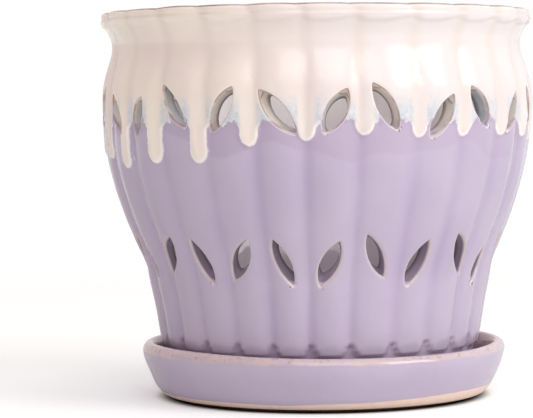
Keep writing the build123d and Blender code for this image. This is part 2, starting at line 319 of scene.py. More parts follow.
def columns_at(z):
    """Column angles at a height: bent to the slots near them and plain elsewhere."""
    up, low = nearness(UPPER, z, 10, 12), nearness(LOWER, z, 12, 12)
    return plain_columns + up * (upper_columns - plain_columns) + low * (lower_columns - plain_columns)


def spread(low, high, step):
    """Heights after low, up to and with high, about a step apart."""
    n = max(1, int(round(abs(high - low) / step)))
    return [low + (high - low) * k / n for k in range(1, n + 1)]


points, marks, quads = [], [], []


def add_points(block, mark):
    """Adds points with what they lie on, and returns their indices."""
    start = sum(len(earlier) for earlier in points)
    points.append(block)
    marks.append(np.full(len(block), mark))
    return np.arange(start, start + len(block))


def add_row(angle, radius, z, mark):
    """Adds one row of points round the pot."""
    z = np.broadcast_to(z, angle.shape)
    return add_points(np.stack((radius * np.sin(angle), -radius * np.cos(angle), z), 1), mark)


def add_band(a, b):
    """Adds the faces between two rows."""
    quads.append(np.stack((a, np.roll(a, -1), np.roll(b, -1), b), 1))


def cell_heights(row):
    """Heights of the rows in a slot row's cells, rising."""
    return [ROWS[row][3] - CELL_HALF + 2 * CELL_HALF * k / CELL_UP for k in range(CELL_UP + 1)]


cell_z = {row: cell_heights(row) for row in (UPPER, LOWER)}

# Outside, from the foot up, with close rows where the flutes end and at the lip's laps
heights = [6.9, 7.7, 8.9] + spread(8.9, 20.0, 2.3) + spread(20.0, 27.2, .72) + spread(27.2, 29.0, 1.8)
heights += spread(29.0, cell_z[LOWER][0], 2.3)[:-1] + cell_z[LOWER]
heights += spread(cell_z[LOWER][-1], 84.0, 1.9) + spread(84.0, cell_z[UPPER][0], 1.15)[:-1] + cell_z[UPPER]
heights += spread(cell_z[UPPER][-1], 134.0, 1.6) + spread(134.0, 139.6, 1.1) + spread(139.6, LIP_START, .5)
from_notch = np.min([np.abs(signed(plain_columns - k * TURN / NOTCHES)) for k in range(NOTCHES)], 0)


def foot_height(z):
    """The foot's lowest rows rise over the drain notches, and stay a little apart there."""
    over = BASE + NOTCH_HEIGHT + (z - BASE) * .05
    return np.where(from_notch < NOTCH_HALF_ANGLE, np.maximum(z, over), z)


outside = []
for z in heights:
    angle = columns_at(z)
    rounding = FOOT_ROUND_IN * quarter_round((z - BASE) / FOOT_ROUND_UP)
    radius = outer_radius(angle, np.full(COLUMNS, z)) - rounding
    outside.append(add_row(angle, radius, foot_height(z), ON_OUTSIDE))

# The lip, over the top and down inside: radius, height, petals' wave outwards and downwards, slant
LIP_STEPS = (
    (LIP_RADIUS - .12, 144.45, .45, .0, .1), (LIP_RADIUS, 145.05, .5, .05, .2),
    (LIP_RADIUS + .06, 145.7, .5, .10, .3), (LIP_RADIUS + .04, 146.35, .48, .18, .42),
    (LIP_RADIUS - .12, 147.0, .42, .28, .52), (LIP_RADIUS - .5, 147.52, .35, .36, .6),
    (LIP_RADIUS - 1.1, 147.86, .28, .42, .66), (LIP_RADIUS - 2.0, 148.02, .22, .45, .7),
    (LIP_RADIUS - 3.0, 147.97, .18, .42, .7), (LIP_RADIUS - 4.0, 147.6, .14, .34, .7),
    (LIP_RADIUS - 4.6, 147.0, .12, .24, .7), (LIP_RADIUS - 5.0, 146.1, .10, .14, .7),
    (LIP_RADIUS - 5.25, 145.0, .08, .06, .7),
)
# The crest line's middle lies a little inside the outer edge
CREST_RADIUS = LIP_RADIUS - 1.3
lip = []
u_plain, number_plain = flute(plain_columns)
lip_jitter = rng.normal(0, .18, FLUTES)[number_plain] * (1 - u_plain ** 2)
for radius, z, out_wave, down_wave, slant in LIP_STEPS:
    u = flute(plain_columns + slant * PETAL_LEAN * PITCH / 2)[0]
    # a petal: a soft swell with a crease where it laps over the next one
    crease = np.exp(-((1 - np.abs(u)) / .09) ** 2)
    swell = hollow(u, 8)
    r = radius - out_wave * 1.15 * swell - .3 * crease + lip_jitter * .5 + wobble(plain_columns, z)
    # the rim lies lower at both sides than at the front and the back
    lower = (.5 + .35 * np.sin(plain_columns) ** 2) * (z - LIP_START) / LIP_HEIGHT
    up = z - lower - down_wave * .45 * swell - .1 * crease * (down_wave > .1)
    up = up + lip_jitter * .5 * (down_wave > .04)
    lip.append(add_row(plain_columns, r, up, ON_LIP))

# Inside, from the lip down
inside_heights = [143.6, 141.8, 139.6, 137.2, 134.4, 131.2, 128.0, 125.0]
inside_heights += cell_z[UPPER][::-1] + spread(cell_z[UPPER][0], cell_z[LOWER][-1], 3.6)[:-1]
inside_heights += cell_z[LOWER][::-1] + spread(cell_z[LOWER][0], FLOOR_TOP + 9, 4.2)
inside_heights += [FLOOR_TOP + 6.6, FLOOR_TOP + 4.4, FLOOR_TOP + 2.6]
inside_heights += [FLOOR_TOP + 1.2, FLOOR_TOP + .4, FLOOR_TOP]
inside = []
for z in inside_heights:
    angle = columns_at(z)
    cover = GLAZE * smooth(101, 107, z)
    inside.append(add_row(angle, inner_radius(angle, np.full(COLUMNS, z)) - cover, z, ON_INSIDE))

# Floor, drain hole, recess and foot ring: radius and height
GLAZED_DOWN_TO = FLOOR_TOP - 2
BASE_STEPS = (
    (38, FLOOR_TOP - .05), (22, FLOOR_TOP - .15), (DRAIN + 1.6, FLOOR_TOP - .25),
    (DRAIN + .5, FLOOR_TOP - .6), (DRAIN, FLOOR_TOP - 1.4), (DRAIN, RECESS_TOP + 1),
    (DRAIN + .4, RECESS_TOP + .2), (DRAIN + 1.2, RECESS_TOP), (28, RECESS_TOP),
    (RECESS_RADIUS - 1.2, RECESS_TOP), (RECESS_RADIUS - .2, RECESS_TOP - .4), (RECESS_RADIUS, BASE + 1.2),
    (RECESS_RADIUS + .5, BASE + .3), (RECESS_RADIUS + 1.3, BASE), (53.2, BASE), (55.2, BASE),
    (56.1, BASE + .1),
)
base = []
for radius, z in BASE_STEPS:
    in_foot_ring = z < RECESS_TOP - .3 and radius > RECESS_RADIUS - 1
    mark = ON_INSIDE if z > GLAZED_DOWN_TO else ON_FOOT
    up = foot_height(z) if in_foot_ring else z
    base.append(add_row(plain_columns, np.full(COLUMNS, float(radius)), up, mark))

# Faces between the rows, but for the slots' cells
cell_rows = {row: [heights.index(z) for z in cell_z[row]] for row in (UPPER, LOWER)}
cell_inner_rows = {row: [inside_heights.index(z) for z in cell_z[row]] for row in (UPPER, LOWER)}
in_cells = {k for row in (UPPER, LOWER) for k in cell_rows[row][:-1]}
inner_in_cells = {k for row in (UPPER, LOWER) for k in cell_inner_rows[row][1:]}
for k in range(len(heights) - 1):
    if k not in in_cells:
        add_band(outside[k], outside[k + 1])
chain = [outside[-1]] + lip + [inside[0]]
for a, b in zip(chain, chain[1:]):
    add_band(a, b)
for k in range(len(inside_heights) - 1):
    if k not in inner_in_cells:
        add_band(inside[k], inside[k + 1])
chain = [inside[-1]] + base + [outside[0]]
for a, b in zip(chain, chain[1:]):
    add_band(a, b)


def leaf(n, length, width, point):
    """n points round a leaf shape from its top tip, and the outward normal at each."""
    finer = 16
    t = np.linspace(0, TURN, n * finer, endpoint=False)
    b = length / 2 * np.cos(t)
    a = width / 2 * np.sign(np.sin(t)) * np.abs(np.sin(t)) ** point
    da, db = np.roll(a, -1) - np.roll(a, 1), np.roll(b, -1) - np.roll(b, 1)
    normal = np.stack((-db, da), 1)
    # the normals turn evenly round the tips
    for _ in range(10):
        normal = normal / np.linalg.norm(normal, axis=1, keepdims=True)
        normal = normal + .5 * (np.roll(normal, 2, 0) + np.roll(normal, -2, 0))
    normal /= np.linalg.norm(normal, axis=1, keepdims=True)
    pick = np.arange(0, n * finer, finer)
    return a[pick], b[pick], normal[pick]


def leaning_leaf(length, width, point, lean):
    """A leaf shape whose top tip leans to the right: its points and their normals, across and along."""
    a, b, normal = leaf(RIM_POINTS, length, width, point)
    return (
        a * cos(lean) + b * sin(lean), -a * sin(lean) + b * cos(lean),
        normal[:, 0] * cos(lean) + normal[:, 1] * sin(lean),
        -normal[:, 0] * sin(lean) + normal[:, 1] * cos(lean),
    )


def perimeter(number, rows, starts):
    """Indices of the grid points round a slot's cell, anticlockwise from outside, from its top middle."""
    left, right = number * ACROSS, (number + 1) * ACROSS
    middle = left + ACROSS // 2
    low_to_high = [starts[r] for r in rows]
    bottom, top = low_to_high[0], low_to_high[-1]
    index = [top[c % COLUMNS] for c in range(middle, right)]
    index += [s[right % COLUMNS] for s in low_to_high[:0:-1]]
    index += [bottom[c % COLUMNS] for c in range(right, left, -1)]
    index += [s[left % COLUMNS] for s in low_to_high[:-1]]
    index += [top[c % COLUMNS] for c in range(left, middle)]
    return np.array(index)


grid_points = np.concatenate(points)
edge_distances, cool_rings = [], []
tips, crowns = [], []


def cut_slot(row, number):
    """Rings of points from the grid outside over a slot's edge, through the wall, to the grid inside."""
    table, length, width, height, dip = ROWS[row]
    place, lift, long_share, wide_share, lean = table[number]
    length_here, width_here = length * long_share, width * wide_share
    angle = FIRST_FLUTE + (number + place) * PITCH
    z = height + lift * length
    lean, dip = radians(lean), radians(dip)
    radius = float(clay_radius(z))

    # the slot's own plane: to the right, up and out along the cut
    origin = np.array((radius * sin(angle), -radius * cos(angle), z))
    right = np.array((cos(angle), sin(angle), 0))
    out = np.array((cos(dip) * sin(angle), -cos(dip) * cos(angle), -sin(dip)))
    up = np.cross(out, right)
    askew = ASKEW.get((row, number), (0, 0))
    inner_out = out - (askew[0] * right + askew[1] * up) / WALL

    def in_plane(p):
        return (p - origin) @ right, (p - origin) @ up

    def on_wall(a, b, along, wall, further=0.0):
        """Points of the slot's plane pushed along a direction on to a wall, and further by a given length."""
        flat = origin + a[:, None] * right + b[:, None] * up
        c = np.zeros(len(a))
        for _ in range(12):
            p = flat + c[:, None] * along
            turned = np.arctan2(p[:, 0], -p[:, 1])
            lead = along[0] * np.sin(turned) - along[1] * np.cos(turned)
            c = c + (wall(turned % TURN, p[:, 2]) - np.hypot(p[:, 0], p[:, 1])) / lead
        return flat + (c + further)[:, None] * along

    def ring_to(previous, block, mark, edge=None):
        """Adds a ring of points and the faces from the last one, and notes its distance to the edge."""
        ring = add_points(block, mark)
        if edge is not None:
            edge_distances.append((ring, edge))
        join(previous, ring)
        return ring

    def join(a, b):
        quads.append(np.stack((a, b, np.roll(b, -1), np.roll(a, -1)), 1))

    a, b, na, nb = leaning_leaf(length_here, width_here, CUT_POINT, lean)
    inner_a, inner_b, inner_na, inner_nb = leaning_leaf(
        length_here * INNER_LENGTH, width_here * INNER_WIDTH, INNER_POINT, lean)

    # the perimeter starts where it lies in the direction of the leaf's top tip
    around_out = perimeter(number, cell_rows[row], outside)
    around_in = perimeter(number, cell_inner_rows[row], inside)
    grid_a, grid_b = in_plane(grid_points[around_out])
    turn = np.arctan2(grid_b, grid_a) - np.arctan2(b[0], a[0])
    shift = int(np.argmin(np.abs(np.angle(np.exp(1j * turn)))))
    around_out, around_in = np.roll(around_out, -shift), np.roll(around_in, -shift)
    grid_a, grid_b = in_plane(grid_points[around_out])
    inner_grid_a, inner_grid_b = in_plane(grid_points[around_in])

    # outside, from the grid to the slot's edge and round it
    rim_a, rim_b = a + na * ROUND_OUT, b + nb * ROUND_OUT
    ring = around_out
    for share in (.22, .42, .60, .76, .89, 1.0):
        pa, pb = grid_a + (rim_a - grid_a) * share, grid_b + (rim_b - grid_b) * share
        away = np.hypot(pa - rim_a, pb - rim_b) + ROUND_OUT
        ring = ring_to(ring, on_wall(pa, pb, out, outer_radius), ON_OUTSIDE, away)
    for share in (.28, .55, .8, 1.0):
        t = share * pi / 2
        o, drop = ROUND_OUT * (1 - sin(t)), ROUND_OUT * (1 - cos(t))
        block = on_wall(a + na * o, b + nb * o, out, outer_radius, -drop)
        ring = ring_to(ring, block, ON_CUT, o - drop * .6)

    # through the wall
    outer_end = on_wall(a, b, out, outer_radius, -ROUND_OUT)
    inner_end = on_wall(inner_a, inner_b, inner_out, inner_radius, ROUND_IN)
    for share in (.25, .6, 1.0):
        ring = ring_to(ring, outer_end + (inner_end - outer_end) * share, ON_CUT, -1.0 - 3 * share)
        cool_rings.append((ring, COOL.get((row, number), 0.0)))

    # round the inner edge and on to the grid inside
    for share in (.5, 1.0):
        t = share * pi / 2
        o, drop = ROUND_IN * (1 - cos(t)), ROUND_IN * (1 - sin(t))
        block = on_wall(inner_a + inner_na * o, inner_b + inner_nb * o, inner_out, inner_radius, drop)
        ring = ring_to(ring, block, ON_INSIDE, -5.0)
    rim_a, rim_b = in_plane(
        on_wall(inner_a + inner_na * ROUND_IN, inner_b + inner_nb * ROUND_IN, inner_out, inner_radius))
    for share in (.35, .7):
        pa, pb = rim_a + (inner_grid_a - rim_a) * share, rim_b + (inner_grid_b - rim_b) * share
        ring = ring_to(ring, on_wall(pa, pb, out, inner_radius), ON_INSIDE)
    join(ring, around_in)

    to_tip = length_here / 2 * (sin(lean) * right + cos(lean) * up)
    crowns.append(origin + to_tip)
    tips.append(origin - to_tip)


for row in (UPPER, LOWER):
    for number in range(FLUTES):
        cut_slot(row, number)

# All points, with what the material needs to know of each, and then only those that a face uses
all_points, all_marks, all_quads = np.concatenate(points), np.concatenate(marks), np.concatenate(quads)
from_edge, from_crest = np.full(len(all_points), FAR), np.full(len(all_points), FAR)
coolness = np.zeros(len(all_points))
for ring, distance in edge_distances:
    from_edge[ring] = distance
for ring, cool in cool_rings:
    coolness[ring] = cool
for ring, step in zip(lip, LIP_STEPS):
    from_crest[ring] = abs(CREST_RADIUS - step[0])
used = np.unique(all_quads)
renumber = np.full(len(all_points), -1)
renumber[used] = np.arange(len(used))
all_quads, all_points, all_marks = renumber[all_quads], all_points[used], all_marks[used]
from_edge, coolness, from_crest = from_edge[used], coolness[used], from_crest[used]


def mesh_object(name, points, faces):
    mesh = bpy.data.meshes.new(name)
    mesh.from_pydata((points * MM).tolist(), [], faces)
    mesh.validate()
    mesh.polygons.foreach_set("use_smooth", np.ones(len(mesh.polygons), bool))
    mesh.update()
    ob = bpy.data.objects.new(name, mesh)
    bpy.context.scene.collection.objects.link(ob)
    return ob


def attribute(ob, name, values):
    """Keeps one number for each point, for the material to read."""
    layer = ob.data.attributes.new(name, "FLOAT", "POINT")
    layer.data.foreach_set("value", np.asarray(values, np.float32))


def nearest(places):
    """Distance of each of the pot's points to the nearest of some places."""
    away = np.full(len(all_points), FAR)
    for place in places:
        away = np.minimum(away, np.linalg.norm(all_points - place, axis=1))
    return away


pot = mesh_object("pot_body", all_points, all_quads.tolist())
angle_of = np.arctan2(all_points[:, 0], -all_points[:, 1]) % TURN
drip, beside = drip_distance(angle_of, all_points[:, 2])
attribute(pot, "drip", drip)
attribute(pot, "beside", beside)
attribute(pot, "edge", from_edge)
attribute(pot, "tip", nearest(tips))
attribute(pot, "crown", nearest(crowns))
attribute(pot, "cool", coolness)
attribute(pot, "crest", from_crest)
attribute(pot, "part", all_marks)
attribute(pot, "groove", hollow(flute(angle_of)[0]))

# The saucer, turned as one smooth shape with a little unevenness.
# Foot, outside, lip and basin: radius and height
SAUCER = (
    (49.9, .9), (50.2, .35), (50.9, .0), (53.5, .0), (56.2, .0), (56.9, .04), (57.3, .3), (57.6, .75),
    (58.3, 1.08), (59.4, 1.22), (60.7, 1.28), (61.4, 1.4), (62.1, 1.75), (62.75, 2.3), (63.4, 3.0),
    (64.05, 3.75), (64.9, 4.9), (65.6, 6.15), (66.3, 7.6), (67.0, 9.2), (67.7, 10.9), (68.4, 12.6),
    (69.0, 14.2), (69.4, 15.6), (69.7, 16.9), (69.82, 18.0), (69.7, 19.1), (69.3, 20.0), (68.6, 20.75),
    (67.8, 21.15), (67.1, 21.25), (66.4, 21.1), (65.8, 20.6), (65.35, 19.9), (65.05, 19.1), (64.85, 18.2),
    (64.55, 16.8), (64.15, 14.8), (63.65, 12.6), (63.15, 10.4), (62.7, 8.7), (62.3, 7.6), (61.7, 6.85),
    (60.9, 6.45), (59.9, SAUCER_FLOOR), (57.0, SAUCER_FLOOR), (53.0, SAUCER_FLOOR), (46.0, SAUCER_FLOOR),
    (34.0, SAUCER_FLOOR), (20.0, SAUCER_FLOOR), (4.0, SAUCER_FLOOR),
)
# Inside the first radius the basin carries painted shade and a darker glaze line, and the wall is uneven
# outside the second
SAUCER_LIP_INNER = 66.4
SAUCER_FOOT_OUTER = 60
SAUCER_UNDER = (
    (4.0, SAUCER_UNDERSIDE), (20.0, SAUCER_UNDERSIDE), (34.0, SAUCER_UNDERSIDE), (46.0, SAUCER_UNDERSIDE),
    (48.8, 1.4), (49.5, 1.2),
)
turn_angle = np.arange(SAUCER_SIDES) * TURN / SAUCER_SIDES
rings = []


def add_saucer_ring(radius, z):
    x, y = SAUCER_SHIFT + radius * np.sin(turn_angle), -radius * np.cos(turn_angle)
    rings.append(np.stack((x, y, z * np.ones(SAUCER_SIDES)), 1))


for radius, z in SAUCER:
    side = smooth(1.2, 6, z) * (radius > SAUCER_FOOT_OUTER)
    wave = .16 * np.sin(3 * turn_angle + .5) + .10 * np.sin(7 * turn_angle + 2)
    wave = wave + .07 * np.sin(z / 1.6 + turn_angle)
    # the hand-turned rim dips at the front right and rises a little at the front left
    dip = -.9 * np.exp(-((signed(turn_angle) - radians(22)) / radians(44)) ** 2)
    dip = dip + .35 * np.exp(-((signed(turn_angle) + radians(62)) / radians(24)) ** 2)
    up = z + dip * smooth(5, 20, z) + side * (z > 15) * .06 * np.sin(5 * turn_angle)
    add_saucer_ring(radius + side * wave, up)
for radius, z in SAUCER_UNDER:
    add_saucer_ring(radius, z)

middles = np.array(((SAUCER_SHIFT, 0, SAUCER_FLOOR), (SAUCER_SHIFT, 0, SAUCER_UNDERSIDE)))
saucer_points = np.concatenate(rings + [middles])
top_ring, under_ring = len(SAUCER) - 1, len(SAUCER)
top_middle, under_middle = len(saucer_points) - 2, len(saucer_points) - 1
i = np.arange(SAUCER_SIDES)
j = (i + 1) % SAUCER_SIDES
saucer_faces = []
for k in range(len(rings)):
    if k != top_ring:
        a, b = k * SAUCER_SIDES, (k + 1) % len(rings) * SAUCER_SIDES
        saucer_faces += np.stack((a + i, a + j, b + j, b + i), 1).tolist()
top, under = top_ring * SAUCER_SIDES, under_ring * SAUCER_SIDES
saucer_faces += [[top + a, top + b, top_middle] for a, b in zip(i.tolist(), j.tolist())]
saucer_faces += [[under + b, under + a, under_middle] for a, b in zip(i.tolist(), j.tolist())]
saucer = mesh_object("saucer_dish", saucer_points, saucer_faces)
inner_ring = [radius for radius, z in SAUCER].index(SAUCER_LIP_INNER)
inner = np.zeros(len(saucer_points))
inner[(inner_ring + 1) * SAUCER_SIDES:len(SAUCER) * SAUCER_SIDES] = 1
attribute(saucer, "inner", inner)


# Materials
def srgb(r, g, b):
    def linear(v):
        v /= 255
        return v / 12.92 if v <= .04045 else ((v + .055) / 1.055) ** 2.4
    return (linear(r), linear(g), linear(b), 1)


class Tree:
    """Short ways to add shader nodes to a material or to the world."""

    def __init__(self, owner):
        owner.use_nodes = True
        self.nodes, self.links = owner.node_tree.nodes, owner.node_tree.links

    def put(self, value, socket):
        if isinstance(value, bpy.types.NodeSocket):
            self.links.new(value, socket)
        else:
            socket.default_value = value

    def math(self, operation, a, b):
        node = self.nodes.new("ShaderNodeMath")
        node.operation = operation
        self.put(a, node.inputs[0])
        self.put(b, node.inputs[1])
        return node.outputs[0]

    def times(self, first, *others):
        for value in others:
            first = self.math("MULTIPLY", first, value)
        return first

    def plus(self, first, *others):
        for value in others:
            first = self.math("ADD", first, value)
        return first

    def minus(self, a, b):
        return self.math("SUBTRACT", a, b)

    def ramp(self, x, low, high, to_low=0.0, to_high=1.0):
        """A smooth step from one value at low to another at high."""
        node = self.nodes.new("ShaderNodeMapRange")
        node.interpolation_type = "SMOOTHSTEP"
        for value, socket in zip((x, low, high, to_low, to_high), node.inputs):
            self.put(value, socket)
        return node.outputs[0]

    def mix(self, factor, a, b):
        node = self.nodes.new("ShaderNodeMix")
        node.data_type = "RGBA"
        self.put(factor, node.inputs["Factor"])
        self.put(a, node.inputs[6])
        self.put(b, node.inputs[7])
        return node.outputs[2]

    def read(self, name):
        node = self.nodes.new("ShaderNodeAttribute")
        node.attribute_name = name
        return node.outputs["Fac"]

    def place(self):
        return self.nodes.new("ShaderNodeTexCoord").outputs["Object"]

    def millimetres(self, axis):
        node = self.nodes.new("ShaderNodeSeparateXYZ")
        self.links.new(self.place(), node.inputs[0])
        return self.times(node.outputs[axis], 1000.0)

    def noise(self, scale, detail=2.0, rough=.5, stretch=(1, 1, 1), shift=0.0):
        node = self.nodes.new("ShaderNodeTexNoise")
        mapping = self.nodes.new("ShaderNodeMapping")
        self.links.new(self.place(), mapping.inputs["Vector"])
        mapping.inputs["Scale"].default_value = stretch
        mapping.inputs["Location"].default_value = (shift, shift, shift)
        self.links.new(mapping.outputs[0], node.inputs["Vector"])
        node.inputs["Scale"].default_value = scale
        node.inputs["Detail"].default_value = detail
        node.inputs["Roughness"].default_value = rough
        return node.outputs["Fac"]


class Surface(Tree):
    """A new material with its own shader."""

    def __init__(self, name):
        self.material = bpy.data.materials.new(name)
        super().__init__(self.material)
        self.shader = self.nodes["Principled BSDF"]

    def finish(self, colour, roughness, ior, height):
        self.put(colour, self.shader.inputs["Base Color"])
        self.put(roughness, self.shader.inputs["Roughness"])
        self.shader.inputs["IOR"].default_value = ior
        bump = self.nodes.new("ShaderNodeBump")
        bump.inputs["Distance"].default_value = .0006
        bump.inputs["Strength"].default_value = .6
        self.links.new(height, bump.inputs["Height"])
        self.links.new(bump.outputs[0], self.shader.inputs["Normal"])
        return self.material


CREAM, CREAM_WARM, CREAM_ROSE = srgb(242, 233, 231), srgb(235, 221, 211), srgb(237, 222, 219)
CREAM_PAINTED_LEFT_WARMTH = srgb(251, 239, 226)
CREAM_BEAD_AND_HIGHLIGHT = srgb(255, 250, 246)
LAVENDER, LAVENDER_DEEP, LAVENDER_PALE = srgb(197, 183, 207), srgb(185, 168, 199), srgb(207, 195, 215)
LAVENDER_PAINTED_SHADE = srgb(182, 164, 190)
BLUE_PALE, BLUE = srgb(214, 220, 227), srgb(186, 196, 214)
BROWN, GOLD, RIM_PALE = srgb(120, 88, 66), srgb(178, 138, 100), srgb(236, 220, 202)
INSIDE_HIGH, INSIDE_LOW = srgb(246, 242, 240), srgb(190, 182, 192)
TUNNEL_HIGH, TUNNEL_LOW_GREY_AND_SHADE = srgb(228, 220, 210), srgb(144, 130, 148)
TUNNEL_PAINTED_SHADOW, TUNNEL_COOL = srgb(96, 86, 94), srgb(176, 186, 196)
CLAY, CLAY_DARK, CLAY_GAP_PAINTED_SHADE = srgb(255, 230, 215), srgb(252, 219, 200), srgb(150, 124, 106)
ROSY_TAN, SPECK_BROWN = srgb(226, 204, 196), srgb(186, 156, 140)
BASIN_PAINTED_SHADE, BASIN_LINE = srgb(178, 150, 148), srgb(150, 118, 104)


def lavender_glaze(t, x, z, broad, speck):
    """A little deeper in the grooves, faintly clouded and speckled, with painted shade in a band under the
    cream and on the left.
    """
    colour = t.mix(t.times(t.ramp(t.read("groove"), .2, 1.0), .7), LAVENDER, LAVENDER_DEEP)
    colour = t.mix(t.times(t.ramp(broad, .35, .7), .5), colour, LAVENDER_PALE)
    colour = t.mix(t.times(t.ramp(speck, .6, .75), .18), colour, LAVENDER_PALE)
    # painted shade: a wavy darker band just under the cream, stronger on the left
    wave = t.times(t.noise(42, 1, .4, (1, 1, .2), 4), 22.0)
    under = t.ramp(t.plus(z, t.plus(wave, t.ramp(x, -60, -25, -4.0, 0.0))), 105.2, 107.0)
    colour = t.mix(t.times(under, t.ramp(x, -40, 50, .5, .3)), colour, LAVENDER_PAINTED_SHADE)
    # painted shade on the left side, which faces away from the key lamp
    return t.mix(t.ramp(x, -75, -10, .5, 0), colour, LAVENDER_PAINTED_SHADE)


def cream_glaze(t, x, z, broad, patch, drip, beside):
    """Warmer in the grooves, with a painted warm light tint on the left, rosy clouds, blue mottling and a
    pale bead at its edge that is partly a painted highlight.
    """
    # painted light: the left side, away from the key lamp, gets a warm tint of its light
    colour = t.mix(t.ramp(x, -60, 30, 1.0, 0.0), CREAM, CREAM_PAINTED_LEFT_WARMTH)
    colour = t.mix(t.times(t.ramp(t.read("groove"), .25, 1.0), .5), colour, CREAM_WARM)
    colour = t.mix(t.times(t.ramp(broad, .45, .7), .45), colour, CREAM_ROSE)
    # pale blue mottling where the cream thins out between the drips
    between = t.times(t.ramp(beside, -1.0, 1.0), t.ramp(z, 101, 106), t.ramp(z, 117, 108))
    mottle = t.times(between, t.ramp(patch, .3, .56, .3, 1.0))
    colour = t.mix(t.times(mottle, .9), colour, BLUE_PALE)
    deep = t.times(mottle, t.ramp(t.noise(700, 2, .6, shift=7), .5, .62))
    colour = t.mix(t.times(deep, .45), colour, BLUE)
    # a paler bead of thick glaze along the drips' edges, partly a painted highlight
    bead = t.times(t.ramp(drip, -1.3, -.35), t.ramp(z, 107, 103))
    return t.mix(t.times(bead, .7), colour, CREAM_BEAD_AND_HIGHLIGHT)


def cut_face(t, z, fine, edge, tip, above):
    """The cut face of a slot: paler near the outside, greyer and painted darker as shade below the cream and
    at its inner end, glaze in its tips.
    """
    crown = t.read("crown")
    # below the cream the cut face is a grey-mauve glaze, painted darker as shade
    face = t.mix(above, TUNNEL_LOW_GREY_AND_SHADE, TUNNEL_HIGH)
    face = t.mix(t.times(t.read("cool"), t.ramp(fine, .3, .7, .6, 1.0)), face, TUNNEL_COOL)
    # painted shadow along the cut's inner end
    face = t.mix(t.ramp(edge, -2.6, -3.9, .0, .75), face, TUNNEL_PAINTED_SHADOW)
    # glaze fills the cut's tips: cream at the top of the upper row, pale at every bottom
    face = t.mix(t.times(t.ramp(crown, 3.9, 3.3), above, .5), face, BROWN)
    face = t.mix(t.times(t.ramp(crown, 3.1, 2.5), above, .9), face, CREAM)
    return t.mix(t.times(t.ramp(tip, 3.0, 2.2), .9), face, t.mix(above, LAVENDER_PALE, BLUE_PALE))


def pot_material():
    t = Surface("lavender_glaze")
    drip, beside, edge, tip, part = (t.read(name) for name in ("drip", "beside", "edge", "tip", "part"))
    x, z = t.millimetres("X"), t.millimetres("Z")
    broad, fine, speck = t.noise(28, 3), t.noise(240, 3, .6), t.noise(900, 2, .6)
    patch = t.noise(330, 3, .7, (1, 1, .6), 3)
    inside = t.times(t.ramp(part, 1.4, 1.6), t.ramp(part, 2.6, 2.4))
    not_inside = t.minus(1.0, inside)
    # the cream's outline: clean round the drips, ragged between them and drawn up beside the slots
    ragged = t.times(t.minus(patch, .5), t.ramp(beside, -.1, 1.4, .3, 7.0))
    at_slot = t.times(t.ramp(edge, 2.6, .4), t.ramp(beside, -.1, .9))
    drawn = t.times(at_slot, t.ramp(t.noise(45, 1, shift=6), .42, .56), 3.4)
    coated = t.ramp(t.plus(drip, ragged, drawn), .3, -.3)
    cream = cream_glaze(t, x, z, broad, patch, drip, beside)
    colour = t.mix(coated, lavender_glaze(t, x, z, broad, speck), cream)
    tunnel = t.times(t.ramp(edge, -.5, -1.2), t.ramp(part, 3.2, 3.8))
    above = t.ramp(t.plus(z, t.times(fine, 6.0)), 102, 110)
    colour = t.mix(t.times(tunnel, .95), colour, cut_face(t, z, fine, edge, tip, above))
    colour = t.mix(inside, colour, t.mix(t.ramp(z, 60, 125), INSIDE_LOW, INSIDE_HIGH))
    # the glaze breaks brown on the slots' edges in the cream and stays pale on them in the lavender
    rim = t.times(t.ramp(edge, -.7, -.25), t.ramp(edge, .45, .05), not_inside)
    uneven = t.ramp(t.noise(160, 2, shift=5), .38, .6, .25, 1.0)
    low = t.ramp(t.plus(z, t.times(patch, 6.0)), 108, 104)
    colour = t.mix(t.times(rim, uneven, t.minus(1.0, low), .8), colour, GOLD)
    colour = t.mix(t.times(rim, t.ramp(uneven, 0, 1, .45, .75), low), colour, RIM_PALE)
    # a bead of glaze at each slot's bottom tip, pale and partly a painted highlight, with a few brown specks
    colour = t.mix(t.times(t.ramp(tip, 1.5, .7), t.ramp(patch, .35, .5), .6), colour, CREAM_BEAD_AND_HIGHLIGHT)
    fleck = t.times(t.ramp(tip, 2.2, 1.2), t.ramp(t.noise(820, 2, .6, shift=11), .58, .64), .8)
    colour = t.mix(fleck, colour, BROWN)
    # a thin brown line on the lip's crest
    crest = t.times(t.ramp(t.read("crest"), 1.1, .85), t.ramp(t.noise(90, 2, shift=9), .36, .52, .7, 1.0))
    colour = t.mix(t.times(crest, t.ramp(x, -60, 40, .97, .7)), colour, BROWN)
    # bare clay on the foot's underside
    bare = t.times(t.ramp(part, 2.6, 2.9), t.ramp(part, 3.4, 3.1))
    colour = t.mix(bare, colour, CLAY)
    rough_cream = t.times(coated, not_inside, .13)
    roughness = t.plus(t.times(bare, .5), rough_cream, t.ramp(fine, .3, .7, .05, .1))
    return t.finish(colour, roughness, 1.5, t.plus(t.noise(75, 2), t.times(fine, .25)))


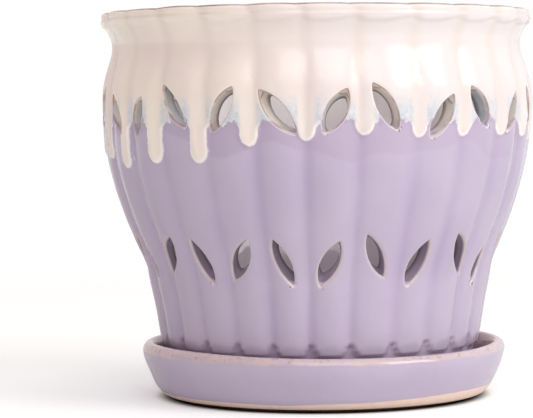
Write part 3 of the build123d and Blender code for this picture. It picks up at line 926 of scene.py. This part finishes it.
def saucer_material():
    t = Surface("saucer_glaze")
    x, z = t.millimetres("X"), t.millimetres("Z")
    inner = t.read("inner")
    broad, fine, speck = t.noise(30, 3, shift=2), t.noise(200, 3, .6), t.noise(900, 2, .6)
    colour = t.mix(t.times(t.ramp(broad, .35, .7), .6), LAVENDER, LAVENDER_PALE)
    colour = t.mix(t.times(t.ramp(speck, .6, .75), .18), colour, LAVENDER_PALE)
    # the glaze thins to a rosy tan on the lip, unevenly, and the clay shows through as brown specks
    lip = t.times(t.ramp(t.plus(z, t.times(fine, 2.0)), 18.6, 19.9), t.ramp(fine, .3, .65, .5, 1.0))
    colour = t.mix(t.times(lip, .7), colour, ROSY_TAN)
    bare_specks = t.times(t.ramp(z, 18.3, 19.6), t.ramp(t.noise(520, 2, .6, shift=8), .57, .66))
    colour = t.mix(t.times(bare_specks, .6), colour, SPECK_BROWN)
    # painted shade browns the basin, most of all on its wall, with a darker glaze line where it begins
    colour = t.mix(t.times(inner, t.ramp(z, 7, 13, .15, .85)), colour, BASIN_PAINTED_SHADE)
    line = t.times(t.ramp(inner, .05, .4), t.ramp(inner, .95, .6), .5)
    colour = t.mix(line, colour, BASIN_LINE)
    # bare clay at the foot, a wider band on the right, and painted shade in the gap under the foot's edge
    band_top = t.plus(t.ramp(x, -20, 65, 0, 2.0), t.plus(3.1, t.times(t.noise(26, 3, .6), 1.3)))
    bare = t.ramp(t.minus(band_top, z), .35, .65)
    clay = t.mix(t.ramp(t.noise(420, 3, .6), .4, .65, 0, .6), CLAY, CLAY_DARK)
    # painted shade in the gap under the foot's edge
    clay = t.mix(t.times(t.ramp(z, .05, .2), t.ramp(z, 1.45, 1.25)), clay, CLAY_GAP_PAINTED_SHADE)
    colour = t.mix(bare, colour, clay)
    roughness = t.plus(t.times(bare, .55), t.ramp(fine, .3, .7, .04, .09))
    return t.finish(colour, roughness, 1.6, t.plus(t.noise(75, 2), t.times(fine, .25)))


pot.data.materials.append(pot_material())
saucer.data.materials.append(saucer_material())
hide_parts("pot", "cream_glaze")
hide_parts("saucer")
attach(pot, "pot")
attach(saucer, "saucer")

# Floor, in metres round the saucer's axis
FLOOR_COLOUR, FLOOR_PAINTED_SHADOW = (.89, .925, .91, 1), (.02, .02, .02, 1)


def floor_material():
    t = Surface("floor")
    t.shader.inputs["Roughness"].default_value = .9
    t.shader.inputs["Specular IOR Level"].default_value = .1
    from_saucer, length = t.nodes.new("ShaderNodeVectorMath"), t.nodes.new("ShaderNodeVectorMath")
    from_saucer.operation, length.operation = "ADD", "LENGTH"
    t.links.new(t.place(), from_saucer.inputs[0])
    from_saucer.inputs[1].default_value = (-SAUCER_SHIFT * MM, 0, 0)
    t.links.new(from_saucer.outputs[0], length.inputs[0])
    distance = length.outputs["Value"]
    # a painted contact shadow darkens the floor under the saucer's edge
    t.put(t.mix(t.ramp(distance, .057, .066), FLOOR_PAINTED_SHADOW, FLOOR_COLOUR), t.shader.inputs["Base Color"])
    # a little light of its own, seen by the camera alone, takes the lit floor to white and keeps its shadows;
    # it fades out near the saucer's edge, deepening the painted contact shadow there
    lift = t.nodes.new("ShaderNodeEmission")
    seen = t.nodes.new("ShaderNodeLightPath").outputs["Is Camera Ray"]
    t.put(t.times(seen, t.times(t.ramp(distance, .0585, .067), .26)), lift.inputs["Strength"])
    near = t.nodes.new("ShaderNodeAddShader")
    t.links.new(t.shader.outputs[0], near.inputs[0])
    t.links.new(lift.outputs[0], near.inputs[1])
    # far from the pot the floor runs out into the white backdrop
    glow = t.nodes.new("ShaderNodeEmission")
    glow.inputs["Strength"].default_value = 1.02
    fade = t.nodes.new("ShaderNodeMixShader")
    t.put(t.ramp(distance, .35, .8), fade.inputs[0])
    t.links.new(near.outputs[0], fade.inputs[1])
    t.links.new(glow.outputs[0], fade.inputs[2])
    t.links.new(fade.outputs[0], t.nodes["Material Output"].inputs[0])
    return t.material


bpy.ops.mesh.primitive_plane_add(size=30, location=(0, 0, 0))
floor = bpy.context.object
floor.name = "floor"
floor.data.materials.append(floor_material())


# Lights: place and target in metres, size, watts and colour
def lamp(name, place, target, size, watts, colour):
    data = bpy.data.lights.new(name, "AREA")
    data.shape, data.size, data.size_y = "RECTANGLE", size[0], size[1]
    data.energy, data.color = watts, colour
    ob = bpy.data.objects.new(name, data)
    ob.location = place
    ob.rotation_euler = (Vector(target) - Vector(place)).to_track_quat("-Z", "Y").to_euler()
    bpy.context.scene.collection.objects.link(ob)


lamp("key", (1.25, -.75, .9), (0, 0, .07), (.9, .9), 10.9, (1, .98, .985))
lamp("front", (.1, -1.3, 1.05), (0, 0, .08), (1.2, .7), 6, (1, .95, .94))
lamp("top", (0, .1, 1.6), (0, 0, 0), (1.4, 1.4), 6.5, (1, .95, .94))

# World: darker near the horizon and to the left; mirrored in the glaze, the backdrop behind the pot is bright
studio = bpy.data.worlds.new("studio")
world = Tree(studio)
direction = world.nodes.new("ShaderNodeSeparateXYZ")
world.links.new(world.nodes.new("ShaderNodeTexCoord").outputs["Generated"], direction.inputs[0])
ray = world.nodes.new("ShaderNodeLightPath")
level = world.ramp(direction.outputs["Z"], -.1, .6, .26, .55)
level = world.times(level, world.ramp(direction.outputs["X"], -1, 1, .735, 1.1))
behind = world.times(world.ramp(direction.outputs["Y"], .05, .5, 0, .6), ray.outputs["Is Glossy Ray"])
tint = world.mix(world.ramp(direction.outputs["X"], -1, .7), (1, .83, .84, 1), (1, .96, .95, 1))
back = world.nodes["Background"]
world.put(tint, back.inputs["Color"])
world.put(world.plus(level, behind), back.inputs["Strength"])
white = world.nodes.new("ShaderNodeBackground")
white.inputs["Color"].default_value = (1, 1, 1, 1)
white.inputs["Strength"].default_value = 1.0
pick = world.nodes.new("ShaderNodeMixShader")
world.links.new(ray.outputs["Is Camera Ray"], pick.inputs[0])
world.links.new(back.outputs[0], pick.inputs[1])
world.links.new(white.outputs[0], pick.inputs[2])
world.links.new(pick.outputs[0], world.nodes["World Output"].inputs[0])
bpy.context.scene.world = studio

# Camera: focal length, picture width and middle in pixels, and where the pot's axis and the horizon lie in it
FOCAL, PICTURE_WIDTH = 2332, 533
MIDDLE_COLUMN, MIDDLE_ROW = 266.5, 209
AXIS_COLUMN, HORIZON_ROW = 317.2, 107.5
SENSOR = 36.0
ROLL = .010
camera_data = bpy.data.cameras.new("camera")
camera_data.sensor_width = SENSOR
camera_data.lens = FOCAL / PICTURE_WIDTH * SENSOR
camera_data.clip_start, camera_data.clip_end = .05, 50
camera = bpy.data.objects.new("camera", camera_data)
bpy.context.scene.collection.objects.link(camera)
camera.location = (0, -.9, .1108)
yaw, pitch = atan((AXIS_COLUMN - MIDDLE_COLUMN) / FOCAL), atan((MIDDLE_ROW - HORIZON_ROW) / FOCAL)
look = Vector((-sin(yaw), cos(yaw) * cos(pitch), -sin(pitch)))
camera.rotation_mode = "QUATERNION"
camera.rotation_quaternion = look.to_track_quat("-Z", "Y") @ Quaternion((0, 0, 1), -ROLL)
bpy.context.scene.camera = camera
bpy.context.scene.view_settings.view_transform = "Standard"
